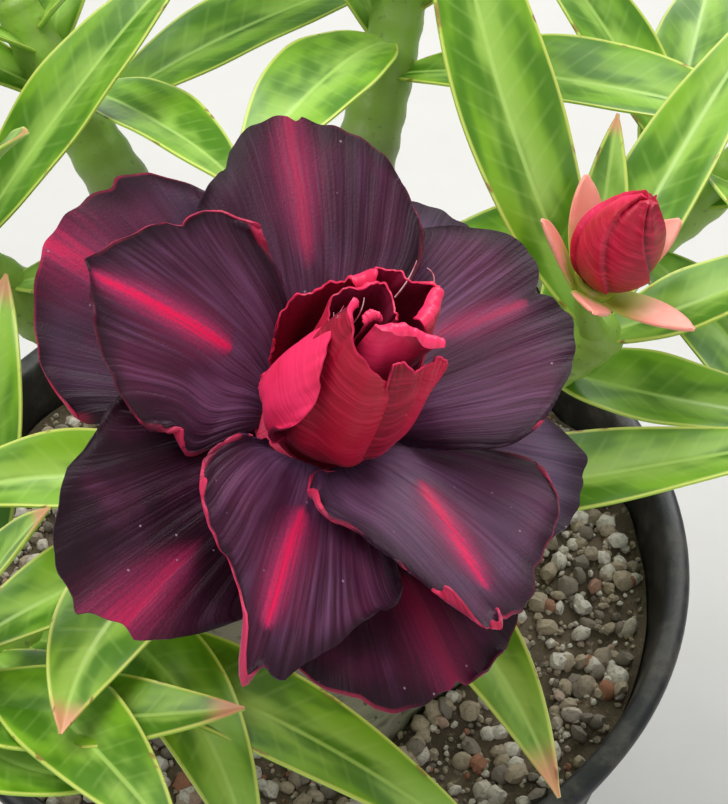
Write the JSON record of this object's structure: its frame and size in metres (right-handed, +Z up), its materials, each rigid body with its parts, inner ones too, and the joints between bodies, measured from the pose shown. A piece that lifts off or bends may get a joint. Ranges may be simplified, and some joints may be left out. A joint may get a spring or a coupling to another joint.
{
  "type": "potted desert rose adenium",
  "caption": "Round black pot of gritty mix with a swollen grey caudex, branches, lance-shaped green leaves, a dark layered bloom with a crimson heart, and a twisted bud.",
  "frame": {"origin": "centre of the pot's flat underside", "axes": "+Z up, out of the pot; -Y towards the bloom; +X to the right of someone who looks along +Y at the bloom"},
  "size_m": [0.2481, 0.2296, 0.2675],
  "materials": {
    "pot_plastic": "black moulded plastic with a soft sheen",
    "potting_mix": "loose tan-grey grit",
    "bark": "smooth grey-green bark",
    "leaf": "glossy bright green leaf",
    "dark_petal": "velvety near-black maroon petal",
    "crimson_petal": "satin crimson petal"
  },
  "bodies": {
    "root": {"nursery_pot": "pot_plastic", "potting_mix": "potting_mix", "caudex": "bark", "leafy_shoot_1": "leaf", "leafy_shoot_2": "leaf", "leafy_shoot_3": "leaf", "leafy_shoot_4": "leaf", "leafy_shoot_5": "leaf", "leafy_shoot_6": "leaf", "leafy_shoot_7": "leaf", "bloom_dark_petals": "dark_petal", "bloom_heart": "crimson_petal", "bud": "crimson_petal"}
  },
  "joints": []
}
